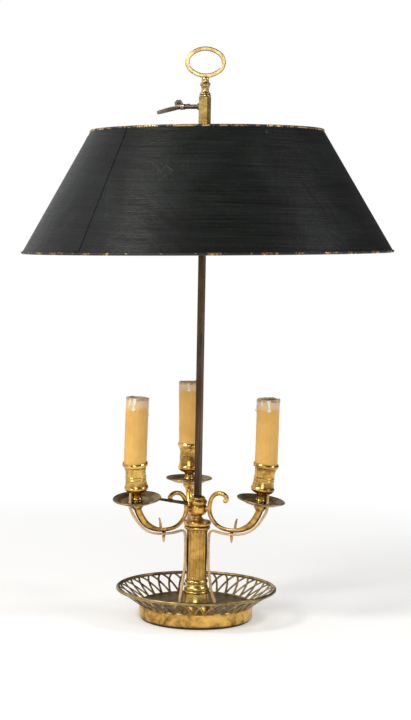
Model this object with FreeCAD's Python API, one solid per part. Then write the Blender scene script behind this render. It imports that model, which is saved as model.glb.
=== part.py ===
import FreeCAD, Part
import math
import os

from FreeCAD import Placement, Rotation, Vector

# Bouillotte lamp, in millimetres, +Z up and its front towards -Y.
# The origin lies on the surface that the lamp stands on, in line with the rod.

# Clearances between pieces
turning_clearance = 0.07
sliding_clearance = 0.15
seat_clearance = 0.1
bore_clearance = 0.2
loose_clearance = 0.3

# Foot and pierced dish
felt_height = 0.8
felt_width = 4.0
foot_radius = 68.0
foot_height = 17.5
foot_edge_radius = 4.0
foot_wall = 1.6
floor_thickness = 2.0
lip_width = 3.0
gallery_rise = 19.0
gallery_spread = 27.0
gallery_thickness = 1.8
gallery_border = 1.4
rim_bead_radius = 2.0
arch_count = 36
arch_crossing = 0.67
arch_turn = 3.3
bar_width = 2.3
opening_tip = 0.25

# Turned pieces of the column, as (radius, height above the piece below, bulge)
bell_profile = [(17.2, 0), (17.0, 1.6), (15.0, 13.4, -0.5), (15.4, 14.2), (15.4, 16.2, 0.4), (14.4, 17.0),
                (12.4, 22.8, 0.9), (12.0, 23.4), (12.0, 25.0), (13.1, 25.6), (13.1, 29.4, 0.8), (12.6, 30.0)]
shaft_height = 60.5
shaft_radius = 12.2
shaft_head_radius = 13.4
shaft_head_height = 7.0
flute_count = 16
flute_radius = 2.5
flute_depth = 0.7
cap_profile = [(14.6, 0), (15.3, 0.9), (15.3, 3.2, 0.2), (14.4, 4.1), (16.0, 5.2),
               (16.2, 8.6, 0.3), (15.4, 9.8), (9.4, 10.6)]
vase_profile = [(8.8, 0), (7.0, 2.0, -0.3), (5.5, 4.6, -0.4), (5.5, 5.4), (7.8, 7.0), (10.5, 9.6, 0.5),
                (11.1, 12.0, 0.2), (11.1, 14.8), (10.2, 17.6, 0.4), (9.6, 18.9)]
collar_profile = [(9.8, 0), (10.9, 1.6, 0.4), (10.9, 4.6, 0.5), (9.6, 6.2), (8.8, 6.6), (8.4, 8.8, 0.5), (7.2, 10.0)]
finial_profile = [(7.0, 0), (6.9, 1.6), (5.9, 2.3), (6.4, 3.6, 0.4), (5.4, 5.0), (4.3, 6.4, -0.3),
                  (4.3, 8.6), (5.0, 10.2, -0.2), (5.5, 12.2), (6.5, 14.4, 0.2), (5.2, 16.2), (4.2, 17.4, -0.2),
                  (4.2, 19.2), (3.9, 22.0, 0.3)]

# Square rod with its threaded foot and head
rod_width = 6.8
rod_turn_deg = -25.0
rod_foot_radius = 4.0
rod_foot_stub = 5.6
rod_head_radius = 2.5
rod_head_length = 10.0
base_washer_radius = 11.0
base_washer_height = 1.5
base_nut_across = 13.0
base_nut_height = 5.0

# Oval ring handle
ring_width = 47.8
ring_height = 36.4
ring_band = 5.0
ring_end_radius = 14.5
ring_depth = 4.2
ring_edge = 1.2
ring_tang_radius = 2.4
ring_tang_length = 6.0

# Arms, drawn along +X with the lug's axis at height zero: names, places round the column and tips that rise or droop
arm_names = ["back", "left", "right"]
arm_azimuth_deg = {"back": 98.0, "left": 211.5, "right": -27.5}
arm_droop_deg = {"back": -5.6, "left": 0.0, "right": 0.0}
arm_side = {"back": 1, "left": 1, "right": -1}
arm_reach = 83.0
lug_rise = 14.4
lug_radius = 2.9
lug_foot = 5.5
stud_radius = 1.5
stud_length = 6.0
arm_line = [(37.0, 11.7, 4.9), (38.6, 15.3, 5.3), (35.2, 19.0, 5.3), (28.6, 20.2, 5.2), (21.4, 16.9, 5.2),
            (17.3, 10.0, 5.2), (15.9, 1.5, 5.2), (17.0, -6.3, 5.2), (22.0, -14.2, 5.0), (29.0, -19.6, 4.8),
            (37.0, -22.0, 4.6), (45.0, -22.7, 4.6), (52.0, -22.2, 5.0), (60.0, -20.0, 6.2), (68.0, -15.8, 7.6),
            (75.0, -8.8, 8.4), (80.0, -0.6, 8.4), (82.4, 6.6, 8.4)]
curl_ball_radius = 2.75
up_spike = [(50.2, -22.0, 1.7), (51.2, -14.5, 1.4), (52.6, -9.0, 1.1)]
down_spike = [(45.8, -22.0, 2.3), (46.2, -30.0, 1.9), (46.2, -36.0, 1.3)]

# Drip pan, candle cup and candle tube, measured from the pan's seat on the arm
# A lean is how far the axis is off the upright, then the azimuth that it leans towards
pan_seat_rise = 12.0
cup_lean = {"back": (0.0, 98.0), "left": (8.5, 246.0), "right": (7.5, -22.0)}
candle_lean = {"back": (1.0, 180.0), "left": (1.4, 31.5), "right": (1.0, -27.5)}
pan_floor = 1.4
pan_profile = [(9.0, 0), (19.6, 1.2, -0.4), (26.4, 4.0, -0.4), (27.6, 4.5), (27.9, 6.5, 0.8), (26.6, 5.7),
               (19.2, 2.6, 0.4), (9.0, 1.4, 0.4)]
boss_radius = 7.2
boss_height = 4.0
boss_cone_height = 4.5
cup_profile = [(6.3, pan_floor), (6.3, 2.2), (5.3, 3.4, -0.2), (6.4, 5.2, 0.3), (5.2, 7.0, 0.2), (5.1, 10.0, -0.1),
               (6.0, 12.0), (9.8, 14.0, -0.4), (13.6, 17.2, 0.3), (13.9, 20.0, 0.3), (12.7, 23.6, -0.2),
               (12.0, 28.4, -0.1), (12.3, 29.1), (12.3, 29.7), (11.9, 30.2), (11.9, 31.6), (12.3, 32.1),
               (12.3, 32.7), (11.9, 33.2), (12.0, 39.6, -0.05), (12.7, 42.4), (12.6, 43.1), (14.5, 45.2, -0.4),
               (14.9, 46.8), (14.9, 48.2, 0.2), (14.3, 49.4)]
cup_bore_radius = 10.6
cup_floor = 17.5
cup_rim_depth = 3.2
cup_rim_clearance = 0.5
tube_radius = 13.3
tube_wall = 1.0
tube_visible_length = 75.4
pipe_radius = 4.0
pipe_bore = 2.7
pipe_sink = 4.6
cup_nut_across = 10.0
cup_nut_height = 3.0

# Lampholder in each candle tube, with a small screw socket
holder_radius = 10.5
holder_foot_height = 64.0
holder_height = 52.0
holder_socket_depth = 18.0
shell_top_drop = 1.0
pipe_hold = 4.0
shell_bore = 7.0
shell_wall = 0.8
shell_length = 16.0
contact_radius = 2.4
contact_gap = 0.4
contact_height = holder_socket_depth - shell_top_drop - shell_length - contact_gap

# Leads from the lampholders, outside the arms and down the column
lead_radius = 1.8
lead_cup_offset = 8.0
lead_pan_offset = 9.5
lead_cup_exit = 12.0
lead_turn_deg = {"back": 27.0, "left": 12.0, "right": 10.0}
lead_floor_radius = {"back": 22.0, "left": 20.9, "right": 24.0}
lead_seat_route = [(9.4, 0, 4.2), (9.7, 0, -4.4)]
lead_arm_route = [(89.6, 0, 0.4), (85.5, 0, -5.8), (80.0, 0, -13.6), (71.6, 0, -21.2), (61.9, 1.2, -25.6),
                  (53.0, 3.2, -26.7), (45.4, 4.9, -26.6), (37.0, 3.0, -27.0), (28.0, 0.4, -26.4)]
lead_column_route = [(15.2, 90.4), (14.4, 72.0), (14.5, 49.0), (16.9, 30.0), (19.2, 14.0)]
lead_below_floor = 5.6
lead_bush_wall = 0.9
lead_bush_flange = 0.6
lead_bush_flange_height = 1.0
lead_block_route = {"back": [(2.0, 31.0)], "left": [(-17.5, 20.0), (-6.0, 31.0)], "right": [(22.5, 20.0), (6.0, 31.0)]}

# Terminal block under the dish and the bush for the mains cord
block_length = 22.0
block_depth = 14.0
block_height = 8.0
block_near_face = 37.0
block_pitch = 6.0
block_screw_radius = 1.6
block_screw_depth = 3.0
inlet_bore = 3.2
inlet_wall = 1.2
inlet_flange = 1.8
inlet_flange_height = 1.5
inlet_length = 6.0
inlet_height = 7.6

# Brace between the left drip pan and the left scroll
brace_pan_end = (-24.5, 3.4, 1.0)
brace_scroll_end = (17.2, 3.6, 7.5)
brace_pan_radius = 1.5
brace_scroll_radius = 2.2

# Slider, clamp screw and its pierced head
slider_width = 10.8
slider_flange_width = 17.0
slider_flange_height = 2.5
finial_gap = 0.4
screw_height_below_top = 11.4
screw_boss_radius = 4.2
screw_boss_length = 3.0
screw_radius = 2.7
screw_length = 27.5
shoe_thickness = 1.2
shoe_gap = 0.05
screw_groove_pitch = 1.5
screw_groove_depth = 0.3
screw_groove_count = 5
head_turn_deg = -17.0
head_thickness = 3.0
head_hub_radius = 3.5
head_hub_length = 10.0
head_socket_depth = 6.0
wing_line = [(6.0, 2.0, 3.6), (12.0, 9.5, 5.0), (16.5, 17.5, 4.6), (20.5, 26.6, 3.0)]
wing_hole_line = [(10.5, 8.0, 2.0), (13.6, 12.4, 2.6), (16.0, 17.2, 1.6)]
wing_small_hole = (19.4, 23.6, 1.1)
volute_line = [(3.0, 3.5, 1.7), (1.2, 7.0, 1.6), (-0.6, 9.0, 2.0)]

# Conical shade and its three-armed carrier
shade_top_height = 580.0
rod_above_shade = 40.6
shade_height = 140.9
shade_top_radius = 136.9
shade_bottom_radius = 218.2
shade_thickness = 0.6
shade_bead_radius = 1.5
shade_bead_facets = 24
shade_offset = 3.2
shade_tilt_deg = 1.3
shade_pitch_deg = 0.65
seam_azimuth_deg = 227.3
seam_angle_deg = 2.2
seam_end_gap = 0.3
spider_drop = 16.0
spider_azimuth_deg = [59.0, 179.0, 299.0]
spider_thickness = 2.0
spider_arm_width = 9.0
spider_hub_radius = 10.5
spider_collar_radius = 9.0
spider_collar_height = 6.0
tab_width = 12.0
tab_thickness = 1.2
tab_height = 13.5
tab_top_gap = 5.5
rivet_drop = 7.5
rivet_radius = 1.3
rivet_head_radius = 2.3
rivet_head_height = 0.8

# Levels that follow from the stack of pieces
up = Vector(0, 0, 1)
floor_level = foot_height
shaft_level = floor_level + bell_profile[-1][1]
cap_level = shaft_level + shaft_height
vase_level = cap_level + cap_profile[-1][1]
lug_level = vase_level + lug_rise
collar_level = vase_level + vase_profile[-1][1]
rod_length = shade_top_height + rod_above_shade - collar_level
finial_level = collar_level + rod_length
ring_centre_level = finial_level + finial_profile[-1][1] + ring_height / 2 - loose_clearance
gallery_top_level = floor_level + gallery_rise
gallery_top_radius = foot_radius - gallery_thickness / 2 + gallery_spread
spigot_bore = rod_foot_radius + bore_clearance
slider_top_level = finial_level - finial_gap
spider_level = shade_top_height - spider_drop
slider_level = spider_level - slider_flange_height
slider_length = slider_top_level - slider_level
screw_level = slider_top_level - screw_height_below_top
shade_slope = (shade_bottom_radius - shade_top_radius) / shade_height
rim_seat_level = cup_profile[-1][1] - cup_rim_depth
bend_level = cup_profile[-1][1] - cup_rim_depth / 2


def outline(points, plane_point):
    """Closed wire through (a, b) or (a, b, bulge) points, where a bulge makes an arc to that point."""
    edges = []
    for index, point in enumerate(points):
        before = points[index - 1]
        start = plane_point(before[0], before[1])
        end = plane_point(point[0], point[1])
        if (end - start).Length < 1e-6:
            continue
        if len(point) == 2:
            edges.append(Part.LineSegment(start, end).toShape())
            continue
        run, rise = point[0] - before[0], point[1] - before[1]
        length = math.hypot(run, rise)
        middle = plane_point((before[0] + point[0]) / 2 + rise / length * point[2],
                             (before[1] + point[1]) / 2 - run / length * point[2])
        edges.append(Part.Arc(start, middle, end).toShape())
    return Part.Wire(edges)


def turned(points, level=0.0):
    """Solid of revolution about +Z of a closed outline of (radius, height) points."""
    wire = outline(points, lambda radius, height: Vector(radius, 0, height + level))
    return Part.Face(wire).revolve(Vector(0, 0, 0), up, 360)


def turned_on_bore(profile, bore, level=0.0):
    """Turned piece whose outline runs from its foot to its head, with a straight bore."""
    first, last = profile[0], profile[-1]
    return turned([(bore, first[1]), (first[0], first[1])] + profile[1:] + [(bore, last[1])], level)


def cylinder(radius, height, foot=Vector(0, 0, 0), direction=up):
    return Part.makeCylinder(radius, height, foot, direction)


def ring(outer_radius, inner_radius, height, foot=Vector(0, 0, 0), direction=up):
    return cylinder(outer_radius, height, foot, direction).cut(cylinder(inner_radius, height, foot, direction))


def square_bar(width, height, level):
    bar = Part.makeBox(width, width, height, Vector(-width / 2, -width / 2, level))
    return placed(bar, Placement(Vector(0, 0, 0), Rotation(up, rod_turn_deg)))


def hexagon(across, height, foot):
    corner = across / math.sqrt(3)
    points = [Vector(corner * math.cos(math.radians(60 * k)), corner * math.sin(math.radians(60 * k)), 0) + foot
              for k in range(7)]
    return Part.Face(Part.makePolygon(points)).extrude(Vector(0, 0, height))


def placed(shape, placement):
    moved = shape.copy()
    moved.Placement = placement.multiply(moved.Placement)
    return moved


def polar(radius, azimuth_deg, height):
    azimuth = math.radians(azimuth_deg)
    return Vector(radius * math.cos(azimuth), radius * math.sin(azimuth), height)


def fused(shapes):
    whole = shapes[0].multiFuse(shapes[1:]) if len(shapes) > 1 else shapes[0]
    return whole.removeSplitter()


def section_at(point, direction, radius):
    """Circle square to a path in the XZ plane, its seam always on the same side."""
    circle = Part.Wire([Part.makeCircle(radius, Vector(0, 0, 0), up)])
    circle.Placement = Placement(point, Rotation(Vector(0, 1, 0), Vector(0, 0, 0), direction, "ZXY"))
    return circle


def tapered_bar(line):
    """Round bar along (x, z, radius) points in the XZ plane, swelling and thinning smoothly."""
    points = [Vector(x, 0, z) for x, z, radius in line]
    path = Part.BSplineCurve()
    path.interpolate(points)
    sections = []
    for point, (x, z, radius) in zip(points, line):
        sections.append(section_at(point, path.tangent(path.parameter(point))[0], radius))
    return Part.makeLoft(sections, True, False)


def strap(line, thickness):
    """Flat plate round a chain of (a, b, radius) discs joined by their outer tangents."""
    pieces = []
    for a, b, radius in line:
        pieces.append(cylinder(radius, thickness, Vector(a, b, -thickness / 2)))
    for (a0, b0, r0), (a1, b1, r1) in zip(line, line[1:]):
        along = math.atan2(b1 - b0, a1 - a0)
        lean = math.acos((r0 - r1) / math.hypot(a1 - a0, b1 - b0))
        corners = []
        for a, b, radius, side in ((a0, b0, r0, 1), (a1, b1, r1, 1), (a1, b1, r1, -1), (a0, b0, r0, -1)):
            angle = along + side * lean
            corners.append(Vector(a + radius * math.cos(angle), b + radius * math.sin(angle), -thickness / 2))
        pieces.append(Part.Face(Part.makePolygon(corners + corners[:1])).extrude(Vector(0, 0, thickness)))
    return fused(pieces)


def rounded_path(points):
    """Straight runs joined by tangent arcs, each arc as large as its two runs allow."""
    edges = []
    radii = []
    start = points[0]
    for before, corner, after in zip(points, points[1:], points[2:]):
        back, ahead = before - corner, after - corner
        turn = math.pi - back.getAngle(ahead)
        cut = 0.45 * min(back.Length, ahead.Length)
        radii.append(cut / math.tan(turn / 2))
        back.normalize()
        ahead.normalize()
        first, last = corner + back * cut, corner + ahead * cut
        inward = back + ahead
        inward.normalize()
        reach = radii[-1] / math.cos(turn / 2) - radii[-1]
        edges.append(Part.LineSegment(start, first).toShape())
        edges.append(Part.Arc(first, corner + inward * reach, last).toShape())
        start = last
    edges.append(Part.LineSegment(start, points[-1]).toShape())
    return Part.Wire(edges), radii


def tube_along(points, radius, name):
    path, radii = rounded_path(points)
    direction = points[1] - points[0]
    section = Part.Wire([Part.makeCircle(radius, points[0], direction)])
    tube = path.makePipeShell([section], True, False)
    expected = math.pi * radius * radius * path.Length
    print(name, "length", round(path.Length, 1), "radii", [round(r, 1) for r in radii],
          "volume ratio", round(tube.Volume / expected, 4))
    return tube


def export(name, shape):
    shape.exportStep(f"parts/{name}.step")


def leaning(lean, azimuth_deg):
    """Turn about the upright, then off the upright towards the lean's own azimuth."""
    angle, towards = lean
    return Rotation(polar(1, towards + 90, 0), angle).multiply(Rotation(up, azimuth_deg))


def arm_place(name):
    """Takes an arm from its drawing to its place and raises or lowers its tip about the lug's root."""
    pivot = Vector(boss_pivot, 0, 0)
    droop = Placement(pivot, Rotation(Vector(0, 1, 0), arm_droop_deg[name]))
    droop = droop.multiply(Placement(-pivot, Rotation()))
    return Placement(Vector(0, 0, lug_level), Rotation(up, arm_azimuth_deg[name])).multiply(droop)


def seat_place(name):
    """Frame of the drip pan and cup, on the arm's boss."""
    seat = arm_place(name).multVec(Vector(arm_reach, 0, pan_seat_rise))
    return Placement(seat, leaning(cup_lean[name], arm_azimuth_deg[name]))


def candle_place(name):
    """Frame of the candle tube and lampholder, which meets the cup's axis in the cup's rim."""
    meeting = seat_place(name).multVec(Vector(0, 0, bend_level))
    frame = Placement(meeting, leaning(candle_lean[name], arm_azimuth_deg[name]))
    return frame.multiply(Placement(Vector(0, 0, -bend_level), Rotation()))


boss_pivot = vase_profile[-3][0] + lug_radius


# Foot and pierced dish

def lead_floor_point(name, height):
    azimuth = arm_azimuth_deg[name] - arm_side[name] * lead_turn_deg[name]
    return polar(lead_floor_radius[name], azimuth, height)


def foot_dish():
    """Pressed dish floor with its solid band, rolled under at the bottom edge."""
    outer_edge = foot_radius - foot_edge_radius
    inner_radius = foot_radius - foot_wall
    inner_edge = foot_edge_radius - foot_wall
    lip_radius = outer_edge - lip_width
    outer_bulge = foot_edge_radius * (1 - math.cos(math.pi / 4))
    inner_bulge = inner_edge * (1 - math.cos(math.pi / 4))
    underside = floor_level - floor_thickness
    dish = turned([(spigot_bore, underside), (inner_radius, underside),
                   (inner_radius, felt_height + foot_edge_radius),
                   (outer_edge, felt_height + foot_wall, -inner_bulge), (lip_radius, felt_height + foot_wall),
                   (lip_radius, felt_height), (outer_edge, felt_height),
                   (foot_radius, felt_height + foot_edge_radius, outer_bulge),
                   (foot_radius, floor_level), (spigot_bore, floor_level)])
    holes = [cylinder(lead_radius + bore_clearance + lead_bush_wall, floor_thickness,
                      lead_floor_point(name, underside)) for name in arm_names]
    holes.append(cylinder(inlet_bore + inlet_wall, foot_radius, Vector(0, foot_radius / 2, inlet_height),
                          Vector(0, 1, 0)))
    return dish.cut(holes)


def gallery_blank():
    """Flared band, before piercing."""
    top = gallery_top_level
    return turned([(foot_radius - gallery_thickness, floor_level), (foot_radius, floor_level),
                   (gallery_top_radius + gallery_thickness / 2, top),
                   (gallery_top_radius - gallery_thickness / 2, top)])


def arch_sweep(share):
    """Part of a pitch that a bar has moved sideways at a share of the slant."""
    bend = 4 * arch_crossing - 2
    return ((1 + bend) - math.sqrt((1 + bend) ** 2 - 4 * bend * share)) / (2 * bend)


def opening_half_width(kind, share):
    """Half width of a lancet, kite or top opening between the bars at a share of the slant."""
    pitch = 2 * math.pi / arch_count * (foot_radius - gallery_thickness / 2 + gallery_spread * share)
    sweep = arch_sweep(share)
    bend = 4 * arch_crossing - 2
    climb = (1 + bend - 2 * bend * sweep) * math.hypot(gallery_spread, gallery_rise)
    room = {"lancet": 0.5 - sweep, "kite": min(sweep, 1 - sweep), "top": sweep - 0.5}[kind]
    return room * pitch - bar_width / 2 * math.hypot(climb, pitch) / climb


def opening_end(kind, wide, narrow):
    """Share of the slant, between a wide and a narrow one, where the opening comes to its tip."""
    for step in range(30):
        middle = (wide + narrow) / 2
        if opening_half_width(kind, middle) > opening_tip:
            wide = middle
        else:
            narrow = middle
    return wide


def gallery_opening(kind, shares, azimuth):
    """Prism square to the gallery whose sides are arcs through three shares of the slant each."""
    slant = math.hypot(gallery_spread, gallery_rise)
    normal = Vector(-gallery_rise / slant, 0, gallery_spread / slant)
    along = Vector(gallery_spread / slant, 0, gallery_rise / slant)
    base = Vector(foot_radius - gallery_thickness / 2, 0, floor_level) - normal * 4

    def corner(share, side):
        return base + Vector(0, side * opening_half_width(kind, share), 0) + along * (slant * share)

    edges = []
    for low, high in zip(shares, shares[1:]):
        middle = (low + high) / 2
        for side in (-1, 1):
            edges.append(Part.Arc(corner(low, side), corner(middle, side), corner(high, side)).toShape())
    for share in (shares[0], shares[-1]):
        edges.append(Part.LineSegment(corner(share, -1), corner(share, 1)).toShape())
    face = Part.Face(Part.Wire(Part.__sortEdges__(edges)))
    return placed(face.extrude(normal * 8), Placement(Vector(0, 0, 0), Rotation(up, azimuth)))


def gallery_tools():
    """Prisms that pierce the gallery: at each pitch a lancet, a kite and a small opening under the rim."""
    slant = math.hypot(gallery_spread, gallery_rise)
    low, high = gallery_border / slant, 1 - gallery_border / slant
    lancet = [low, opening_end("lancet", low, arch_crossing)]
    kite = [opening_end("kite", arch_crossing, low), arch_crossing, opening_end("kite", arch_crossing, high)]
    top = [opening_end("top", high, arch_crossing), high]
    tools = []
    for index in range(arch_count):
        azimuth = arch_turn + index * 360 / arch_count
        tools.append(gallery_opening("lancet", lancet, azimuth))
        tools.append(gallery_opening("kite", kite, azimuth + 180 / arch_count))
        tools.append(gallery_opening("top", top, azimuth))
    return tools


def dish_rim():
    centre = Vector(0, 0, gallery_top_level)
    return Part.makeTorus(gallery_top_radius, rim_bead_radius, centre, up).cut(gallery_blank())


def felt_ring():
    outer = foot_radius - foot_edge_radius + felt_width - lip_width
    return ring(outer, outer - felt_width, felt_height)


# Column and rod

def column_shaft():
    """Fluted shaft that flares under the cap."""
    shoulder = shaft_height - shaft_head_height
    shaft = turned([(spigot_bore, 0), (shaft_radius, 0), (shaft_radius, shoulder),
                    (shaft_head_radius, shaft_height, -0.3), (spigot_bore, shaft_height)], shaft_level)
    cutter_place = shaft_radius - flute_depth + flute_radius
    flutes = []
    for index in range(flute_count):
        foot = polar(cutter_place, index * 360 / flute_count, shaft_level + shaft_head_height / 2)
        flutes.append(cylinder(flute_radius, shaft_height - shaft_head_height, foot))
        flutes.append(Part.makeSphere(flute_radius, foot))
        flutes.append(Part.makeSphere(flute_radius, foot + up * (shaft_height - shaft_head_height)))
    return shaft.cut(flutes)


def arm_studs():
    return [placed(cylinder(stud_radius, stud_length, Vector(lug_foot + 1, 0, 0), Vector(1, 0, 0)),
                   arm_place(name)) for name in arm_names]


def square_rod():
    """Iron rod: threaded foot through the whole column, square length, threaded head for the finial."""
    foot_level = floor_level - floor_thickness - base_washer_height - rod_foot_stub
    foot = cylinder(rod_foot_radius, collar_level - foot_level, Vector(0, 0, foot_level))
    square = square_bar(rod_width, rod_length, collar_level)
    head = cylinder(rod_head_radius, rod_head_length, Vector(0, 0, finial_level))
    return fused([foot, square, head])


def finial_baluster():
    bore = rod_head_radius + bore_clearance / 2
    body = turned([(0, 0)] + [finial_profile[0]] + finial_profile[1:] + [(0, finial_profile[-1][1])], finial_level)
    top = finial_level + finial_profile[-1][1]
    socket = cylinder(ring_tang_radius, ring_tang_length, Vector(0, 0, top - ring_tang_length))
    return body.cut([cylinder(bore, rod_head_length + loose_clearance, Vector(0, 0, finial_level)), socket])


def ring_handle(baluster):
    """Oval ring that faces the front, with softened edges and a tang into the baluster."""
    centre = Vector(0, 0, ring_centre_level)

    def oval(inset):
        """Plate bounded by two end arcs and two flatter arcs that run into each other smoothly."""
        half_width, half_height = ring_width / 2, ring_height / 2
        end_centre = half_width - ring_end_radius
        step = half_height - ring_end_radius
        flat_centre = (end_centre ** 2 - step ** 2) / (2 * step)
        flat_radius = half_height + flat_centre - inset
        reach = math.hypot(end_centre, flat_centre)
        x = flat_radius * end_centre / reach
        z = flat_radius * flat_centre / reach - flat_centre
        corners = [Vector(x, z, 0), Vector(-x, z, 0), Vector(-x, -z, 0), Vector(x, -z, 0)]
        middles = [Vector(0, half_height - inset, 0), Vector(inset - half_width, 0, 0),
                   Vector(0, inset - half_height, 0), Vector(half_width - inset, 0, 0)]
        edges = [Part.Arc(corners[k], middles[k], corners[(k + 1) % 4]).toShape() for k in range(4)]
        return Part.Face(Part.Wire(edges)).extrude(Vector(0, 0, ring_depth))

    band = oval(0).cut(oval(ring_band))
    band = band.makeFillet(ring_edge, [edge for edge in band.Edges if edge.Curve.TypeId == "Part::GeomCircle"])
    band = placed(band, Placement(centre + Vector(0, ring_depth / 2, 0), Rotation(Vector(1, 0, 0), 90)))
    foot = finial_level + finial_profile[-1][1] - ring_tang_length
    tang = cylinder(ring_tang_radius, ring_tang_length + ring_band / 2, Vector(0, 0, foot))
    return fused([band, tang]).cut(baluster)


def base_nut():
    level = floor_level - floor_thickness - base_washer_height - base_nut_height
    return hexagon(base_nut_across, base_nut_height, Vector(0, 0, level)).cut(
        cylinder(rod_foot_radius, base_nut_height, Vector(0, 0, level)))


def base_washer():
    return ring(base_washer_radius, spigot_bore, base_washer_height,
                Vector(0, 0, floor_level - floor_thickness - base_washer_height))


# Arm with what stands on it

def arm_body(vase, name):
    """Cast arm: scroll, sweep that swells towards the pan, two spikes, lug to the vase and pan boss."""
    sweep = tapered_bar([(x, z, thickness / 2) for x, z, thickness in arm_line])
    ball = Part.makeSphere(curl_ball_radius, Vector(arm_line[0][0], 0, arm_line[0][1]))
    spikes = []
    for spike in (up_spike, down_spike):
        spikes.append(tapered_bar(spike))
        spikes.append(Part.makeSphere(spike[-1][2], Vector(spike[-1][0], 0, spike[-1][1])))
    lug = cylinder(lug_radius, arm_line[6][0] - lug_foot, Vector(lug_foot, 0, 0), Vector(1, 0, 0))
    neck_radius = arm_line[-1][2] / 2
    boss = fused([Part.makeCone(neck_radius, boss_radius, boss_cone_height,
                                Vector(0, 0, -boss_height - boss_cone_height)),
                  cylinder(boss_radius, boss_height, Vector(0, 0, -boss_height))])
    place, seat = arm_place(name), seat_place(name)
    body = fused([placed(piece, place) for piece in [sweep, ball, lug] + spikes] + [placed(boss, seat)])
    pipe_hole = placed(cylinder(pipe_radius, 2 * pipe_sink, Vector(0, 0, -pipe_sink)), seat)
    return body.cut([vase, pipe_hole] + arm_studs())


def drip_pan():
    """Bowl-shaped pan with a turned bead and holes for the pipe and the lead."""
    pipe_hole = pipe_radius + loose_clearance
    pan = turned([(pipe_hole, 0)] + pan_profile + [(pipe_hole, pan_floor)])
    lead_hole = cylinder(lead_radius + 2 * bore_clearance, 4 * pan_floor, Vector(lead_pan_offset, 0, -pan_floor))
    return pan.cut(lead_hole)


def candle_cup():
    """Turned cup on its neck, bored for the lampholder, its rim recessed for the candle tube."""
    rim_level = cup_profile[-1][1]
    recess = tube_radius + cup_rim_clearance
    pipe_hole = pipe_radius + seat_clearance / 2
    cup = turned([(pipe_hole, pan_floor)] + cup_profile + [(recess, rim_level), (recess, rim_seat_level),
                 (cup_bore_radius, rim_seat_level), (cup_bore_radius, cup_floor), (pipe_hole, cup_floor)])
    lead_hole = cylinder(lead_radius + loose_clearance, cup_floor, Vector(lead_cup_offset, 0, cup_floor / 2))
    return cup.cut(lead_hole)


def candle_tube(name):
    """Tube that stands straighter than its cup, its foot cut to the slant of the seat in the rim."""
    top = cup_profile[-1][1] + tube_visible_length
    foot = rim_seat_level - 2 * cup_rim_depth
    tube = placed(ring(tube_radius, tube_radius - tube_wall, top - foot, Vector(0, 0, foot)), candle_place(name))
    waste = cylinder(2 * tube_radius, 4 * cup_rim_depth, Vector(0, 0, rim_seat_level + seat_clearance - 4 * cup_rim_depth))
    return tube.cut(placed(waste, seat_place(name)))


def threaded_pipe(name):
    """Pipe from the arm's boss, bent in the cup so that its head follows the candle."""
    seat, candle = seat_place(name), candle_place(name)
    points = [seat.multVec(Vector(0, 0, -pipe_sink)), seat.multVec(Vector(0, 0, bend_level)),
              candle.multVec(Vector(0, 0, holder_foot_height + pipe_hold))]
    tubes = [tube_along(points, radius, f"pipe_{name}") for radius in (pipe_radius, pipe_bore)]
    return tubes[0].cut(tubes[1])


def cup_nut():
    foot = Vector(0, 0, cup_floor)
    return hexagon(cup_nut_across, cup_nut_height, foot).cut(cylinder(pipe_radius, cup_nut_height, foot))


def lampholder():
    """Moulded body: socket for the pipe below, bore for the screw shell above."""
    body = cylinder(holder_radius, holder_height, Vector(0, 0, holder_foot_height))
    top = holder_foot_height + holder_height
    pipe_socket = cylinder(pipe_radius, pipe_hold, Vector(0, 0, holder_foot_height))
    shell_socket = cylinder(shell_bore + shell_wall, holder_socket_depth, Vector(0, 0, top - holder_socket_depth))
    waist = ring(2 * holder_radius, holder_radius - 0.8, 1.2, Vector(0, 0, top - holder_socket_depth - 3))
    rim = [edge for edge in body.Edges if abs(edge.CenterOfMass.z - top) < 1e-3]
    return body.makeFillet(1.0, rim).cut([pipe_socket, shell_socket, waist])


def screw_shell():
    top = holder_foot_height + holder_height
    return ring(shell_bore + shell_wall, shell_bore, shell_length,
                Vector(0, 0, top - shell_top_drop - shell_length))


def centre_contact():
    top = holder_foot_height + holder_height
    return cylinder(contact_radius, contact_height, Vector(0, 0, top - holder_socket_depth))


def lead_points(name):
    """Route of a lead: lampholder, cup, along the arm, down the column, through the floor to the block."""
    side = arm_side[name]
    points = [candle_place(name).multVec(Vector(lead_cup_offset, 0, holder_foot_height))]
    points += [seat_place(name).multVec(Vector(lead_cup_offset, 0, height)) for height in (bend_level, lead_cup_exit)]
    points += [seat_place(name).multVec(Vector(*point)) for point in lead_seat_route]
    points += [arm_place(name).multVec(Vector(x, side * y, z)) for x, y, z in lead_arm_route]
    azimuth = arm_azimuth_deg[name] - side * lead_turn_deg[name]
    points += [polar(radius, azimuth, floor_level + height) for radius, height in lead_column_route]
    run_level = floor_level - floor_thickness - lead_below_floor
    points.append(lead_floor_point(name, floor_level + 4))
    points.append(lead_floor_point(name, run_level))
    points += [Vector(x, y, run_level) for x, y in lead_block_route[name]]
    points.append(Vector(points[-1].x, block_near_face, run_level))
    return points


def lead_bush(name):
    bore = lead_radius + bore_clearance
    outer = bore + lead_bush_wall
    flange = ring(outer + lead_bush_flange, bore, lead_bush_flange_height, lead_floor_point(name, floor_level))
    barrel = ring(outer, bore, floor_thickness, lead_floor_point(name, floor_level - floor_thickness))
    return fused([flange, barrel])


def left_brace(arm, pan):
    """Tapered iron brace from under the left pan's inner edge to the scroll, in front of its curl."""
    start = seat_place("left").multVec(Vector(*brace_pan_end))
    end = arm_place("left").multVec(Vector(*brace_scroll_end))
    bar = Part.makeCone(brace_pan_radius, brace_scroll_radius, (end - start).Length, start, end - start)
    return fused([bar, Part.makeSphere(brace_pan_radius, start)]).cut([arm, pan])


# Terminal block and mains inlet

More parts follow.
